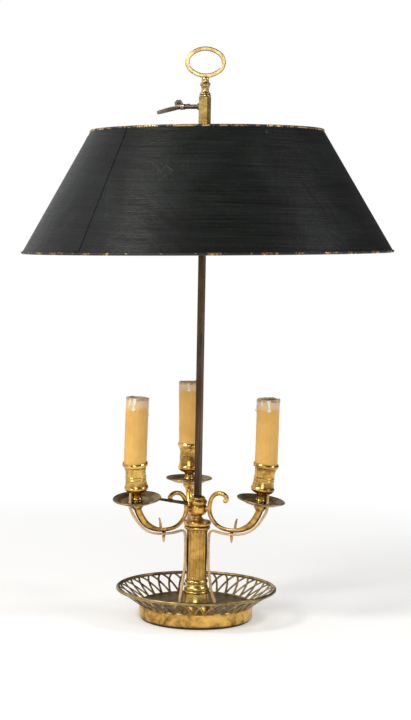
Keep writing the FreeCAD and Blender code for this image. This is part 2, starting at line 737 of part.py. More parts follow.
def terminal_block():
    level = floor_level - floor_thickness - block_height
    block = Part.makeBox(block_length, block_depth, block_height, Vector(-block_length / 2, block_near_face, level))
    return block.cut(terminal_screws())


def terminal_screws():
    level = floor_level - floor_thickness - block_height
    middle = block_near_face + block_depth / 2
    screws = []
    for column in (-1, 0, 1):
        for row in (-1, 1):
            foot = Vector(column * block_pitch, middle + row * block_depth / 4, level)
            screw = cylinder(block_screw_radius, block_screw_depth, foot)
            slot = Part.makeBox(4 * block_screw_radius, 0.6, 0.8, foot - Vector(2 * block_screw_radius, 0.3, 0))
            screws.append(screw.cut(slot))
    return screws


def cord_inlet_bush():
    """Flanged bush in the back of the foot band."""
    outward = Vector(0, 1, 0)
    face = math.sqrt(foot_radius ** 2 - (inlet_bore + inlet_wall) ** 2)
    outside = Vector(0, foot_radius + inlet_flange_height, inlet_height)
    barrel = cylinder(inlet_bore + inlet_wall, inlet_length, outside - outward * inlet_length, outward)
    flange_length = foot_radius + inlet_flange_height - face
    flange = cylinder(inlet_bore + inlet_wall + inlet_flange, flange_length, outside - outward * flange_length,
                      outward)
    flange = flange.cut(cylinder(foot_radius, foot_height))
    bush = fused([barrel, flange])
    return bush.cut(cylinder(inlet_bore, inlet_length, outside - outward * inlet_length, outward))


# Slider and clamp screw

def screw_axis():
    return polar(1, rod_turn_deg + 180, 0)


def on_screw_axis(distance):
    return screw_axis() * distance + Vector(0, 0, screw_level)


def slider_sleeve():
    """Square sleeve with a flange at its foot for the shade's carrier."""
    hole = rod_width + 2 * sliding_clearance
    sleeve = fused([square_bar(slider_width, slider_length, slider_level),
                    square_bar(slider_flange_width, slider_flange_height, slider_level)])
    screw_hole = cylinder(screw_radius + turning_clearance, slider_width, on_screw_axis(0), screw_axis())
    return sleeve.cut([square_bar(hole, slider_length, slider_level), screw_hole])


def screw_boss():
    return ring(screw_boss_radius, screw_radius + turning_clearance, screw_boss_length,
                on_screw_axis(slider_width / 2), screw_axis())


def clamp_shoe():
    return cylinder(screw_radius, shoe_thickness, on_screw_axis(rod_width / 2 + shoe_gap), screw_axis())


def screw_start():
    return rod_width / 2 + 2 * shoe_gap + shoe_thickness


def thumbscrew_shaft():
    """Plain shaft with thread rings where it leaves the boss."""
    shaft = cylinder(screw_radius, screw_length, on_screw_axis(screw_start()), screw_axis())
    grooves = []
    for index in range(screw_groove_count):
        place = slider_width / 2 + screw_boss_length + (index + 1) * screw_groove_pitch
        grooves.append(ring(2 * screw_radius, screw_radius - screw_groove_depth, screw_groove_pitch / 2,
                            on_screw_axis(place), screw_axis()))
    return shaft.cut(grooves)


def thumbscrew_head(shaft):
    """Pierced head with two swept wings and two small volutes, flat along the screw's axis."""
    hub = Part.makeCone(head_hub_radius, head_hub_radius * 0.8, head_hub_length, Vector(0, 0, 0), Vector(1, 0, 0))
    pieces = [hub]
    holes = []
    for side in (1, -1):
        pieces.append(strap([(a, side * b, r) for a, b, r in wing_line], head_thickness))
        pieces.append(strap([(a, side * b, r) for a, b, r in volute_line], head_thickness * 0.8))
        holes.append(strap([(a, side * b, r) for a, b, r in wing_hole_line], 2 * head_thickness))
        a, b, r = wing_small_hole
        holes.append(cylinder(r, 2 * head_thickness, Vector(a, side * b, -head_thickness)))
    head = fused(pieces).cut(holes)
    start = on_screw_axis(screw_start() + screw_length - head_socket_depth)
    lay = Rotation(screw_axis(), head_turn_deg).multiply(Rotation(up, rod_turn_deg + 180))
    return placed(head, Placement(start, lay)).cut(shaft)


# Shade, drawn with its top edge at height zero, and its carrier

shade_lay = Rotation(Vector(0, 1, 0), -shade_tilt_deg).multiply(Rotation(Vector(1, 0, 0), -shade_pitch_deg))
shade_place = Placement(Vector(shade_offset, 0, shade_top_height), shade_lay)


def shade_cone(inset):
    """Solid cone of the shade's outer surface, moved inwards by an inset."""
    return Part.makeCone(shade_bottom_radius - inset, shade_top_radius - inset, shade_height,
                         Vector(0, 0, -shade_height))


def sheet_inset():
    return shade_thickness * math.hypot(1, shade_slope)


def sheet_section():
    inset = sheet_inset()
    return [(shade_bottom_radius, -shade_height), (shade_top_radius, 0), (shade_top_radius - inset, 0),
            (shade_bottom_radius - inset, -shade_height)]


def shade_sheet():
    """Rolled sheet with a lapped seam that stops short of the two beads."""
    sheet = shade_cone(0).cut(shade_cone(sheet_inset()))
    high = -shade_bead_radius - seam_end_gap
    low = -shade_height - high
    lap = [(shade_top_radius - shade_slope * z + step, z) for z, step in
           ((low, 0), (low, sheet_inset()), (high, sheet_inset()), (high, 0))]
    lap = placed(turned_part(lap, seam_angle_deg), Placement(Vector(0, 0, 0), Rotation(up, seam_azimuth_deg)))
    return fused([sheet, lap])


def turned_part(points, angle):
    wire = outline(points, lambda radius, height: Vector(radius, 0, height))
    return Part.Face(wire).revolve(Vector(0, 0, 0), up, angle)


def shade_bead(edge_radius, height):
    """Bead rolled round an edge of the sheet: a many-sided disc, less the sheet's section, turned about the axis."""
    turns = [2 * math.pi * step / shade_bead_facets for step in range(shade_bead_facets)]
    disc = [(edge_radius + shade_bead_radius * math.cos(turn), height + shade_bead_radius * math.sin(turn))
            for turn in turns]
    disc = Part.Face(outline(disc, lambda radius, level: Vector(radius, 0, level)))
    strip = Part.Face(outline(sheet_section(), lambda radius, level: Vector(radius, 0, level)))
    return disc.cut(strip).Faces[0].revolve(Vector(0, 0, 0), up, 360)


def spider_reach(azimuth_deg, radius):
    """Length from the slider to the shade's wall, and the wall point's azimuth seen from the shade's axis."""
    direction = polar(1, azimuth_deg, 0)
    centre = Vector(shade_offset, 0, 0)
    along = direction.dot(centre)
    reach = along + math.sqrt(radius ** 2 - centre.Length ** 2 + along ** 2)
    point = direction * reach - centre
    return reach, math.degrees(math.atan2(point.y, point.x))


def rivet_frame(azimuth_deg):
    """Placement of a rivet, its axis square to the shade's wall."""
    radius = shade_top_radius - sheet_inset() + shade_slope * rivet_drop
    wall_azimuth = spider_reach(azimuth_deg, radius)[1]
    flat = polar(1, wall_azimuth, 0)
    axis = flat + up * shade_slope
    return Placement(polar(radius, wall_azimuth, -rivet_drop), Rotation(up, axis))


def rivet(frame, blockers):
    grip = shade_thickness + tab_thickness
    shank = cylinder(rivet_radius, grip + 2 * rivet_head_height, Vector(0, 0, -tab_thickness - rivet_head_height))
    heads = cylinder(rivet_head_radius, grip + 2 * rivet_head_height,
                     Vector(0, 0, -tab_thickness - rivet_head_height))
    heads = heads.makeFillet(rivet_head_height * 0.6, [edge for edge in heads.Edges if edge.Closed])
    heads = placed(heads, frame).cut(blockers)
    return fused([heads, placed(shank, frame)])


def shade_spider(holes):
    """Carrier plate with three arms that reach the wall and end in riveted tabs."""
    inner = placed(shade_cone(sheet_inset()), shade_place)
    tab_inset = sheet_inset() + tab_thickness * math.hypot(1, shade_slope)
    layer = inner.cut(placed(shade_cone(tab_inset), shade_place))
    pieces = [cylinder(spider_hub_radius, spider_thickness, Vector(0, 0, spider_level))]
    for azimuth in spider_azimuth_deg:
        turn = Placement(Vector(0, 0, 0), Rotation(up, azimuth))
        bar = Part.makeBox(shade_bottom_radius, spider_arm_width, spider_thickness,
                           Vector(0, -spider_arm_width / 2, spider_level))
        pieces.append(placed(bar, turn).common(inner))
        block = Part.makeBox(shade_bottom_radius, tab_width, tab_height,
                             Vector(0, -tab_width / 2, shade_top_height - tab_top_gap - tab_height))
        pieces.append(placed(block, turn).common(layer))
    hole = square_bar(slider_width + 2 * seat_clearance, 2 * spider_thickness, spider_level - spider_thickness / 2)
    return fused(pieces).cut([hole] + holes)


def spider_collar():
    level = spider_level + spider_thickness
    collar = cylinder(spider_collar_radius, spider_collar_height, Vector(0, 0, level))
    collar = collar.makeFillet(1.0, [edge for edge in collar.Edges if edge.Closed][:1])
    return collar.cut(square_bar(slider_width + 2 * seat_clearance, spider_collar_height, level))


def build_foot():
    export("foot_dish", foot_dish())
    export("pierced_gallery", gallery_blank().cut(gallery_tools()))
    export("dish_rim", dish_rim())
    export("felt_ring", felt_ring())
    export("terminal_block", terminal_block())
    export("terminal_screws", Part.makeCompound(terminal_screws()))
    export("cord_inlet_bush", cord_inlet_bush())
    export("lead_bushes", Part.makeCompound([lead_bush(name) for name in arm_names]))


def build_column():
    export("bell_base", turned_on_bore(bell_profile, spigot_bore, floor_level))
    export("column_shaft", column_shaft())
    export("column_cap", turned_on_bore(cap_profile, spigot_bore, cap_level))
    vase = turned_on_bore(vase_profile, spigot_bore, vase_level).cut(arm_studs())
    export("arm_vase", vase)
    collar_bore = rod_width / math.sqrt(2) + seat_clearance
    export("rod_collar", turned_on_bore(collar_profile, collar_bore, collar_level))
    export("square_rod", square_rod())
    export("base_washer", base_washer())
    export("base_nut", base_nut())
    baluster = finial_baluster()
    export("finial_baluster", baluster)
    export("ring_handle", ring_handle(baluster))
    export("arm_studs", Part.makeCompound(arm_studs()))
    return vase


def build_arms(vase):
    pan, cup = drip_pan(), candle_cup()
    nuts = []
    for name in arm_names:
        seat, place = seat_place(name), candle_place(name)
        arm = arm_body(vase, name)
        export(f"arm_{name}", arm)
        export(f"drip_pan_{name}", placed(pan, seat))
        export(f"candle_cup_{name}", placed(cup, seat))
        export(f"candle_tube_{name}", candle_tube(name))
        export(f"holder_pipe_{name}", threaded_pipe(name))
        export(f"lampholder_{name}", placed(lampholder(), place))
        export(f"screw_shell_{name}", placed(screw_shell(), place))
        export(f"centre_contact_{name}", placed(centre_contact(), place))
        export(f"lead_{name}", tube_along(lead_points(name), lead_radius, f"lead_{name}"))
        nuts.append(placed(cup_nut(), seat))
        if name == "left":
            export("left_brace", left_brace(arm, placed(pan, seat)))
    export("cup_nuts", Part.makeCompound(nuts))


def build_slider():
    export("slider_sleeve", slider_sleeve())
    export("screw_boss", screw_boss())
    export("clamp_shoe", clamp_shoe())
    shaft = thumbscrew_shaft()
    export("thumbscrew_shaft", shaft)
    export("thumbscrew_head", thumbscrew_head(shaft))


def build_shade():
    frames = [rivet_frame(azimuth) for azimuth in spider_azimuth_deg]
    reach = 4 * (tab_thickness + shade_thickness)
    holes = [placed(cylinder(rivet_radius, 2 * reach, Vector(0, 0, -reach)), frame) for frame in frames]
    sheet = shade_sheet()
    beads = {"shade_top_bead": (shade_top_radius, 0), "shade_bottom_bead": (shade_bottom_radius, -shade_height)}
    for name, (radius, height) in beads.items():
        middle = radius - sheet_inset() / 2
        export(name, placed(shade_bead(middle, height), shade_place))
    sheet = placed(sheet.cut(holes), shade_place)
    spider = shade_spider([placed(hole, shade_place) for hole in holes])
    export("shade_sheet", sheet)
    export("shade_spider", spider)
    export("spider_collar", spider_collar())
    rivets = [rivet(shade_place.multiply(frame), [sheet, spider]) for frame in frames]
    export("shade_rivets", Part.makeCompound(rivets))


os.makedirs("parts", exist_ok=True)
build_foot()
build_arms(build_column())
build_slider()
build_shade()
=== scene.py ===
import math

import bmesh
import bpy
from mathutils import Matrix, Vector, noise


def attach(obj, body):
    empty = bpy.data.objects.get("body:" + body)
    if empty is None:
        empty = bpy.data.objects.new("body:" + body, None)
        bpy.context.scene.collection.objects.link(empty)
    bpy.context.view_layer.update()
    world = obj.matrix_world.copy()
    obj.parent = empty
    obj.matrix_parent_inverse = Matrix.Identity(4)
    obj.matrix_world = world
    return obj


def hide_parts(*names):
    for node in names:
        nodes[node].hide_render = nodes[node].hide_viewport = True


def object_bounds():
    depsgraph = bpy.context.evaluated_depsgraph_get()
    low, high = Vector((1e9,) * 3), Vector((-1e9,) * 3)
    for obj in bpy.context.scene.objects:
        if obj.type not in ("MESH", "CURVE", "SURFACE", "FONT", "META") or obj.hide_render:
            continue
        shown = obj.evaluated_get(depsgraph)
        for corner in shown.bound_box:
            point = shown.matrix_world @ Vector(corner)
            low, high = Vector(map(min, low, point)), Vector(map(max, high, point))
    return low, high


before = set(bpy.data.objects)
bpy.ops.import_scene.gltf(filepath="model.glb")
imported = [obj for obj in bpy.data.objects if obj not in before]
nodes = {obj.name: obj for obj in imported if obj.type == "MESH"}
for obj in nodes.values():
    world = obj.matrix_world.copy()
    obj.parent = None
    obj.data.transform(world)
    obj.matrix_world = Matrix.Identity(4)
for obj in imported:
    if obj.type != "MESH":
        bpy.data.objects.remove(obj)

cad_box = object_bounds()
scene = bpy.context.scene
mm = 0.001

# Camera
camera_height = 0.4926
camera_distance = 2.200
camera_side = 0.0062
camera_lens = 93.0
camera_pitch = 4.73
camera_roll = 1.05

# Light: the world's own, what reflections see of the room and of the backdrop, and the lamps as place,
# target, size, power and colour
soft_light = 0.42
room_gloss = 0.10
backdrop_gloss = 0.90
lamps = {
    "key_left": ((-1.30, -0.95, 1.55), (0, 0, 0.30), 0.60, 25.0, (1.0, 0.98, 0.95)),
    "fill_right": ((1.55, -0.45, 1.30), (0, 0, 0.2), 0.55, 10.0, (1.0, 0.99, 0.98)),
    "front_soft": ((-0.3, -2.4, 0.9), (0, 0, 0.2), 0.9, 12.0, (1, 1, 1)),
}

# Floor: its tone, its lift towards white, and the distances between which it fades into the backdrop
floor_tone = (0.86, 0.86, 0.86)
floor_glow = 0.23
floor_fade_start = 0.30
floor_fade_end = 0.95
floor_half_width = 12.0
floor_drop = 0.0002

# Arms, cups and candles, as in the CAD model
arm_names = ["back", "left", "right"]
arm_azimuth = {"back": 98.0, "left": 211.5, "right": -27.5}
arm_droop = {"back": -5.6, "left": 0.0, "right": 0.0}
arm_side = {"back": 1, "left": 1, "right": -1}
arm_pivot = Vector((14.0, 0, 0))
lug_level = 133.0
arm_reach = 83.0
pan_seat_rise = 12.0
cup_lean = {"back": (0.0, 98.0), "left": (8.5, 246.0), "right": (7.5, -22.0)}
candle_lean = {"back": (1.0, 180.0), "left": (1.4, 31.5), "right": (1.0, -27.5)}
bend_level = 47.8

# Candle tubes and the wax on them, each drip as turn, drop below the tube's top, length, width and swell
tube_radius = 13.3
tube_top = 124.8
wax_rim_steps = 72
wax_drip_steps = 22
wax_drip_sides = 10
wax_drop_share = 0.86
wax_drips = {
    "left": [(45, 0.6, 15, 4.2, 0.9), (250, 0.6, 13, 4.6, 1.1), (20, 0.9, 8, 3.2, 0.7),
             (140, 0.7, 22, 3.6, 0.8), (300, 0.7, 7, 3.4, 0.6)],
    "right": [(205, 0.6, 15, 4.0, 1.6), (300, 0.6, 14, 4.4, 1.0), (262, 0.8, 7, 3.2, 0.6),
              (70, 0.7, 19, 3.8, 0.8)],
    "back": [(168, 0.7, 10, 4.0, 0.8), (230, 0.7, 6, 3.4, 0.6), (20, 0.8, 16, 3.6, 0.8)],
}

# Leads: two strands that part by the spread along the arm and column, and close up at their ends
lead_strand = 1.25
lead_spread = 1.45
lead_end_spread = 0.45
lead_high_end = 150.0
lead_low_end = 16.0
lead_parting = 8.0
lead_column_reach = 30.0
lead_flat_from = 19.0
lead_turn_rate = 0.35
lead_turn = {"back": 27.0, "left": 12.0, "right": 10.0}
lead_floor_radius = {"back": 22.0, "left": 20.9, "right": 24.0}
lead_cup_route = [(8.0, 0, 47.8), (8.0, 0, 12.0), (9.4, 0, 4.2), (9.7, 0, -4.4)]
lead_arm_route = [(89.6, 0, 0.4), (85.5, 0, -5.8), (80.0, 0, -13.6), (71.6, 0, -21.2), (61.9, 1.2, -25.6),
                  (53.0, 3.2, -26.7), (45.4, 4.9, -26.6), (37.0, 3.0, -27.0), (28.0, 0.4, -26.4)]
lead_column_route = [(15.2, 90.4), (14.4, 72.0), (14.5, 49.0), (16.9, 30.0), (19.2, 14.0)]
lead_block_route = {"back": [(2.0, 31.0)], "left": [(-17.5, 20.0), (-6.0, 31.0)],
                    "right": [(22.5, 20.0), (6.0, 31.0)]}
floor_level = 17.5
lead_floor_level = 21.5
lead_run_level = 9.9
block_face = 37.0
holder_level = 64.0

# Metals as bright, middle and dark colour
gilt = ((0.86, 0.53, 0.145), (0.52, 0.275, 0.055), (0.036, 0.019, 0.006))
cup_gilt = ((0.88, 0.57, 0.16), (0.44, 0.235, 0.048), (0.03, 0.017, 0.005))
brass = ((0.88, 0.66, 0.22), (0.60, 0.38, 0.09), (0.045, 0.026, 0.008))
bell_brass = ((0.98, 0.76, 0.28), (0.78, 0.52, 0.15), (0.045, 0.026, 0.008))
finial_brass = ((0.70, 0.52, 0.24), (0.52, 0.36, 0.14), (0.045, 0.026, 0.008))
olive = ((0.62, 0.46, 0.19), (0.20, 0.13, 0.045), (0.022, 0.015, 0.007))
brown = ((0.60, 0.42, 0.18), (0.24, 0.15, 0.055), (0.030, 0.019, 0.009))
screw_bronze = ((0.52, 0.45, 0.34), (0.27, 0.21, 0.14), (0.05, 0.038, 0.026))


def wire(tree, kind, inputs=None, **settings):
    """New node with its settings, its inputs linked where they are sockets and set where they are values."""
    node = tree.nodes.new(kind)
    for key, value in settings.items():
        setattr(node, key, value)
    for key, value in (inputs or {}).items():
        if isinstance(value, bpy.types.NodeSocket):
            tree.links.new(value, node.inputs[key])
        else:
            node.inputs[key].default_value = value
    return node


class Look:
    """A material's node tree, written in short calls."""

    def __init__(self, name):
        self.material = bpy.data.materials.new(name)
        self.material.use_nodes = True
        self.tree = self.material.node_tree
        self.tree.nodes.clear()
        self.place = self.add("ShaderNodeTexCoord").outputs["Object"]

    def add(self, kind, inputs=None, **settings):
        return wire(self.tree, kind, inputs, **settings)

    def stretched(self, x, y, z, vector=None):
        mapping = self.add("ShaderNodeMapping", {"Vector": vector or self.place, "Scale": (x, y, z)})
        return mapping.outputs["Vector"]

    def around(self, per_turn, per_metre):
        """Coordinates that run round the Z axis and up it, for brushed lines on turned pieces."""
        split = self.add("ShaderNodeSeparateXYZ", {"Vector": self.place})
        angle = self.maths("ARCTAN2", split.outputs["Y"], split.outputs["X"])
        joined = self.add("ShaderNodeCombineXYZ", {
            "X": self.maths("MULTIPLY", angle, per_turn / math.tau),
            "Y": self.maths("MULTIPLY", split.outputs["Z"], per_metre)})
        return joined.outputs["Vector"]

    def noise(self, scale, detail=4.0, rough=0.55, vector=None, warp=0.0):
        texture = self.add("ShaderNodeTexNoise", {
            "Vector": vector or self.place, "Scale": scale, "Detail": detail, "Roughness": rough,
            "Distortion": warp})
        return texture.outputs["Fac"]

    def cells(self, scale, feature="F1", vector=None):
        texture = self.add("ShaderNodeTexVoronoi", {"Vector": vector or self.place, "Scale": scale},
                           feature=feature)
        return texture.outputs["Distance"]

    def maths(self, operation, a, b=0.0, clamp=False):
        node = self.add("ShaderNodeMath", {0: a, 1: b}, operation=operation, use_clamp=clamp)
        return node.outputs["Value"]

    def level(self, value, low, high, to_low=0.0, to_high=1.0):
        node = self.add("ShaderNodeMapRange", {"Value": value, "From Min": low, "From Max": high,
                                               "To Min": to_low, "To Max": to_high})
        return node.outputs["Result"]

    def mix(self, factor, a, b):
        node = self.add("ShaderNodeMix", data_type="RGBA")
        for index, value in ((0, factor), (6, a), (7, b)):
            if isinstance(value, bpy.types.NodeSocket):
                self.tree.links.new(value, node.inputs[index])
            else:
                node.inputs[index].default_value = value if index == 0 else (*value, 1.0)[:4]
        return node.outputs[2]

    def recess(self, distance):
        """Near 1 in the open and near 0 in corners and grooves."""
        node = self.add("ShaderNodeAmbientOcclusion", {"Distance": distance}, samples=8)
        return node.outputs["AO"]

    def height(self):
        return self.add("ShaderNodeSeparateXYZ", {"Vector": self.place}).outputs["Z"]

    def bump(self, height, distance, normal=None):
        inputs = {"Height": height, "Distance": distance, "Strength": 1.0}
        if normal:
            inputs["Normal"] = normal
        return self.add("ShaderNodeBump", inputs).outputs["Normal"]

    def finish(self, colour, roughness, normal=None, metallic=0.0, **constants):
        inputs = {"Base Color": colour, "Roughness": roughness, "Metallic": metallic}
        if normal:
            inputs["Normal"] = normal
        for key, value in constants.items():
            inputs[key.replace("_", " ")] = value
        shader = self.add("ShaderNodeBsdfPrincipled", inputs)
        self.add("ShaderNodeOutputMaterial", {"Surface": shader.outputs["BSDF"]})
        return self.material


def aged_metal(name, bright, middle, dark, tarnish=0.35, recess_depth=0.004, gloss=(0.20, 0.42),
               turned=False, turns=9.0, lines=260.0, lining=0.00005, dust=0.0):
    """Old brass or bronze: tarnish in patches, painted shade with patina darkening corners and grooves,
    rubbed bright elsewhere, fine lines and pits.

    Gloss is the roughness where rubbed and where dull. Turned pieces have their lines round the Z axis, with
    turns as the noise's scale for one turn and lines for one metre. Lining is the lines' depth, and dust
    darkens what faces up.
    """
    look = Look(name)
    patches = look.noise(42.0, 6.0, 0.62, warp=0.6)
    specks = look.noise(900.0, 3.0, 0.6)
    blotches = look.noise(150.0, 5.0, 0.6)
    brushed = look.around(turns, lines) if turned else look.stretched(60.0, 60.0, 500.0)
    streaks = look.noise(1.0, 3.0, 0.6, vector=brushed)
    # Near 0 in corners and grooves: painted shade with patina there, taken towards the dark colour below
    open_air_unshaded = look.level(look.recess(recess_depth), 0.35, 0.97)
    rubbed = look.maths("ADD", look.level(patches, 0.25, 0.75), look.level(streaks, 0.3, 0.7, -0.3, 0.3),
                        True)
    colour = look.mix(rubbed, middle, bright)
    stain = look.level(look.maths("MULTIPLY", patches, blotches), 0.13, 0.27, tarnish, 0.0)
    colour = look.mix(stain, colour, dark)
    colour = look.mix(look.level(specks, 0.66, 0.74, 0.0, 0.5), colour, dark)
    # Painted shade with patina: corners and grooves go to the dark colour
    colour = look.mix(open_air_unshaded, dark, colour)
    if dust:
        facing = look.add("ShaderNodeSeparateXYZ",
                          {0: look.add("ShaderNodeNewGeometry").outputs["True Normal"]})
        colour = look.mix(look.level(facing.outputs["Z"], 0.75, 0.95, 0.0, dust), colour, dark)
    worn = look.level(patches, 0.3, 0.7, gloss[1], gloss[0])
    rough = look.maths("ADD", worn, look.level(streaks, 0.3, 0.7, 0.0, 0.08))
    rough = look.maths("ADD", rough, look.level(open_air_unshaded, 0.0, 1.0, 0.3, 0.0), True)
    normal = look.bump(streaks, lining)
    normal = look.bump(blotches, 0.00010, normal)
    normal = look.bump(specks, 0.00003, normal)
    return look.finish(colour, rough, normal, 1.0)


def shade_paint():
    """Black paint brushed round the shade by hand, with a greenish grey bloom, scuffs and pin-holes."""
    look = Look("shade_black")
    brushed = look.noise(1.0, 4.0, 0.65, vector=look.around(14.0, 620.0))
    broad = look.noise(1.0, 4.0, 0.6, vector=look.around(7.0, 150.0))
    clouds = look.noise(11.0, 5.0, 0.6, warp=0.5)
    specks = look.noise(620.0, 2.0, 0.5)
    pits = look.level(look.cells(95.0), 0.0, 0.045, 1.0, 0.0)
    hair = look.cells(26.0, "DISTANCE_TO_EDGE", look.stretched(1.0, 1.0, 0.35))
    scuffs = look.maths("MULTIPLY", look.level(hair, 0.0, 0.006, 1.0, 0.0),
                        look.level(clouds, 0.56, 0.66), True)
    lines = look.maths("ADD", look.level(brushed, 0.3, 0.7, 0.0, 0.65),
                       look.level(broad, 0.35, 0.65, 0.0, 0.35))
    colour = look.mix(lines, (0.003, 0.0035, 0.003), (0.015, 0.017, 0.016))
    colour = look.mix(look.level(clouds, 0.46, 0.74, 0.0, 0.4), colour, (0.026, 0.032, 0.031))
    colour = look.mix(look.level(specks, 0.70, 0.76, 0.0, 0.30), colour, (0.16, 0.16, 0.13))
    colour = look.mix(look.maths("MULTIPLY", pits, look.level(clouds, 0.45, 0.6)), colour,
                      (0.11, 0.10, 0.07))
    colour = look.mix(look.maths("MULTIPLY", scuffs, 0.35), colour, (0.17, 0.16, 0.13))
    rough = look.maths("ADD", look.level(clouds, 0.3, 0.7, 0.30, 0.40),
                       look.level(brushed, 0.3, 0.7, 0.0, 0.14))
    normal = look.bump(brushed, 0.00022)
    normal = look.bump(broad, 0.0005, normal)
    normal = look.bump(clouds, 0.0022, normal)
    return look.finish(colour, rough, normal, Specular_IOR_Level=0.15)


def worn_gilt(name, gold_share):
    """Gilt line rubbed through to black paint."""
    look = Look(name)
    wear = look.noise(70.0, 6.0, 0.7, warp=0.4)
    fine = look.noise(520.0, 4.0, 0.6)
    mask = look.level(look.maths("ADD", wear, look.maths("MULTIPLY", fine, 0.35)), 0.84 - 0.4 * gold_share,
                      0.92 - 0.4 * gold_share)
    gold = look.mix(fine, (0.30, 0.17, 0.045), (0.78, 0.52, 0.20))
    colour = look.mix(mask, (0.010, 0.009, 0.007), gold)
    normal = look.bump(fine, 0.0001)
    return look.finish(colour, look.level(mask, 0.0, 1.0, 0.55, 0.34), normal,
                       look.maths("MULTIPLY", mask, 0.9))


def candle_wax(name, top):
    """Aged cream sleeve: ochre body, paler clouds, vertical streaks, and a pinkish band under its top."""
    look = Look(name)
    clouds = look.noise(36.0, 5.0, 0.6, warp=0.4)
    streaks = look.noise(1.0, 4.0, 0.6, vector=look.stretched(260.0, 260.0, 22.0))
    specks = look.noise(700.0, 3.0, 0.6)
    colour = look.mix(look.level(clouds, 0.3, 0.7), (0.66, 0.345, 0.062), (0.78, 0.455, 0.11))
    colour = look.mix(look.level(streaks, 0.45, 0.75, 0.0, 0.35), colour, (0.82, 0.55, 0.18))
    colour = look.mix(look.level(specks, 0.66, 0.76, 0.0, 0.35), colour, (0.38, 0.20, 0.05))
    edge = look.maths("ADD", look.height(), look.level(clouds, 0.2, 0.8, -0.004, 0.004))
    colour = look.mix(look.level(edge, top - 0.0135, top - 0.0095, 0.0, 0.9), colour, (0.72, 0.52, 0.31))
    colour = look.mix(look.level(edge, top - 0.0035, top, 0.0, 0.7), colour, (0.30, 0.20, 0.12))
    normal = look.bump(streaks, 0.00015)
    normal = look.bump(clouds, 0.0005, normal)
    return look.finish(colour, look.level(clouds, 0.3, 0.7, 0.42, 0.55), normal, Subsurface_Weight=0.08,
                       Subsurface_Scale=0.002)


def pale_wax(name, low, high):
    """Wax that ran over, clouded between two tones."""
    look = Look(name)
    clouds = look.noise(180.0, 5.0, 0.6)
    colour = look.mix(look.level(clouds, 0.35, 0.65), low, high)
    normal = look.bump(clouds, 0.0004)
    return look.finish(colour, look.level(clouds, 0.3, 0.7, 0.35, 0.5), normal, Subsurface_Weight=0.1,
                       Subsurface_Scale=0.002)


def iron(name, face, edge, dark):
    """Old iron bar: brown skin with darker scale and long file marks."""
    look = Look(name)
    skin = look.noise(28.0, 6.0, 0.65, vector=look.stretched(1.0, 1.0, 0.35))
    marks = look.noise(1.0, 4.0, 0.65, vector=look.stretched(700.0, 700.0, 18.0))
    scale = look.noise(330.0, 4.0, 0.6)
    colour = look.mix(look.level(skin, 0.35, 0.66), dark, face)
    colour = look.mix(look.level(marks, 0.52, 0.74, 0.0, 0.55), colour, edge)
    colour = look.mix(look.level(scale, 0.60, 0.72, 0.0, 0.6), colour, dark)
    normal = look.bump(marks, 0.00012)
    normal = look.bump(scale, 0.0002, normal)
    return look.finish(colour, look.level(skin, 0.3, 0.7, 0.48, 0.34), normal, 0.85)


def insulation():
    """Clear flex gone amber over a bright conductor."""
    look = Look("lead_amber")
    twist = look.noise(1.0, 2.0, 0.5, vector=look.stretched(500.0, 500.0, 900.0))
    clouds = look.noise(90.0, 4.0, 0.6)
    colour = look.mix(look.level(clouds, 0.3, 0.7), (0.56, 0.31, 0.10), (0.80, 0.53, 0.25))
    colour = look.mix(look.level(twist, 0.45, 0.6, 0.0, 0.35), colour, (0.90, 0.70, 0.42))
    normal = look.bump(twist, 0.00008)
    return look.finish(colour, look.level(clouds, 0.3, 0.7, 0.22, 0.34), normal, Coat_Weight=0.35,
                       Coat_Roughness=0.12)


def moulded(name, tone, grain=1400.0):
    """Dark moulding or felt with a fine grain."""
    look = Look(name)
    fine = look.noise(grain, 3.0, 0.6)
    clouds = look.noise(60.0, 4.0, 0.6)
    colour = look.mix(look.level(clouds, 0.3, 0.7), tone, tuple(v * 1.7 + 0.004 for v in tone))
    colour = look.mix(look.level(fine, 0.62, 0.75, 0.0, 0.3), colour, tuple(v * 3 + 0.02 for v in tone))
    return look.finish(colour, look.level(fine, 0.3, 0.7, 0.45, 0.6), look.bump(fine, 0.00006))


def dress(names, material):
    """Put one material on every slot of the named CAD pieces."""
    for name in names:
        if not nodes[name].material_slots:
            nodes[name].data.materials.append(material)
        for slot in nodes[name].material_slots:
            slot.material = material


def each(prefix):
    return [f"{prefix}_{name}" for name in arm_names]


